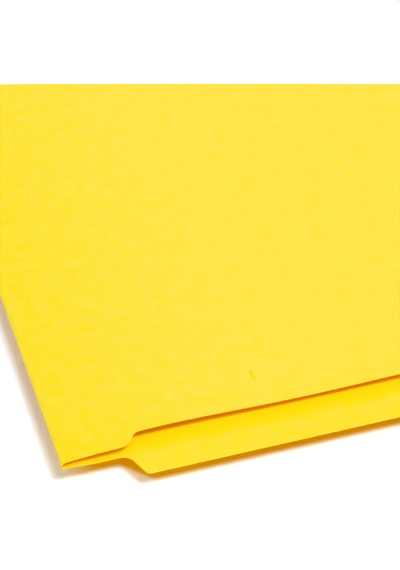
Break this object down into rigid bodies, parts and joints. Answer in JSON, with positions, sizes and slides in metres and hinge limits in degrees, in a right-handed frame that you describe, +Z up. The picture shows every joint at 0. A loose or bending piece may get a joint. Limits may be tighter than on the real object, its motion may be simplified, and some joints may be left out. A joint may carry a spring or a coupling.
{
  "type": "end-tab fastener folder",
  "caption": "Letter-size end-tab card folder, closed, with bonded prong fasteners inside each leaf to hold punched paper.",
  "frame": {"origin": "middle of the folder's outline seen from above, on the surface that the folder lies on", "axes": "+X from the fold to the open edge, +Y from the tab end to the far end, +Z up out of the front leaf"},
  "size_m": [0.2413, 0.3112, 0.0072],
  "materials": {
    "yellow_card": "matt uncoated solid card, dyed through",
    "patch_paper": "matt manila paper",
    "fastener_steel": "tinned strip, satin"
  },
  "bodies": {
    "back_leaf": {"back_panel": "yellow_card", "tab_ply": "yellow_card", "back_patch": "patch_paper", "back_base": "fastener_steel", "back_compressor": "fastener_steel"},
    "score_strip": {"front_score_strip": "yellow_card"},
    "front_leaf": {"front_panel": "yellow_card", "front_patch": "patch_paper", "front_base": "fastener_steel", "front_compressor": "fastener_steel"},
    "back_fold_prong": {"back_prong_fold": "fastener_steel"},
    "back_open_prong": {"back_prong_open": "fastener_steel"},
    "front_fold_prong": {"front_prong_fold": "fastener_steel"},
    "front_open_prong": {"front_prong_open": "fastener_steel"},
    "back_fold_lock": {"back_lock_fold": "fastener_steel"},
    "back_open_lock": {"back_lock_open": "fastener_steel"},
    "front_fold_lock": {"front_lock_fold": "fastener_steel"},
    "front_open_lock": {"front_lock_open": "fastener_steel"}
  },
  "joints": [
    {"name": "cover_fold", "type": "hinge", "parent": "back_leaf", "child": "score_strip", "pos_m": [-0.12065, 0, 0.002], "axis": [0, -1, 0], "range_deg": [0, 160]},
    {"name": "cover_score", "type": "hinge", "parent": "score_strip", "child": "front_leaf", "pos_m": [-0.1078, 0, 0.00525], "axis": [0, -1, 0], "range_deg": [0, 20]},
    {"name": "back_prong_fold_hinge", "type": "hinge", "parent": "back_leaf", "child": "back_fold_prong", "pos_m": [-0.03492, 0.13958, 0.00211], "axis": [0, -1, 0], "range_deg": [0, 90]},
    {"name": "back_prong_open_hinge", "type": "hinge", "parent": "back_leaf", "child": "back_open_prong", "pos_m": [0.03492, 0.13958, 0.00211], "axis": [0, 1, 0], "range_deg": [0, 90]},
    {"name": "front_prong_fold_hinge", "type": "hinge", "parent": "front_leaf", "child": "front_fold_prong", "pos_m": [-0.03492, 0.13958, 0.00444], "axis": [0, 1, 0], "range_deg": [0, 90]},
    {"name": "front_prong_open_hinge", "type": "hinge", "parent": "front_leaf", "child": "front_open_prong", "pos_m": [0.03492, 0.13958, 0.00444], "axis": [0, -1, 0], "range_deg": [0, 90]},
    {"name": "back_lock_fold_slide", "type": "slide", "parent": "back_leaf", "child": "back_fold_lock", "axis": [-1, 0, 0], "range_m": [0, 0.018]},
    {"name": "back_lock_open_slide", "type": "slide", "parent": "back_leaf", "child": "back_open_lock", "axis": [1, 0, 0], "range_m": [0, 0.018]},
    {"name": "front_lock_fold_slide", "type": "slide", "parent": "front_leaf", "child": "front_fold_lock", "axis": [-1, 0, 0], "range_m": [0, 0.018]},
    {"name": "front_lock_open_slide", "type": "slide", "parent": "front_leaf", "child": "front_open_lock", "axis": [1, 0, 0], "range_m": [0, 0.018]}
  ],
  "couplings": [
    {"joint": "back_prong_fold_hinge", "follows": "cover_fold", "ratio": 0.5625},
    {"joint": "back_prong_open_hinge", "follows": "cover_fold", "ratio": 0.5625},
    {"joint": "front_prong_fold_hinge", "follows": "cover_fold", "ratio": 0.5625},
    {"joint": "front_prong_open_hinge", "follows": "cover_fold", "ratio": 0.5625}
  ]
}
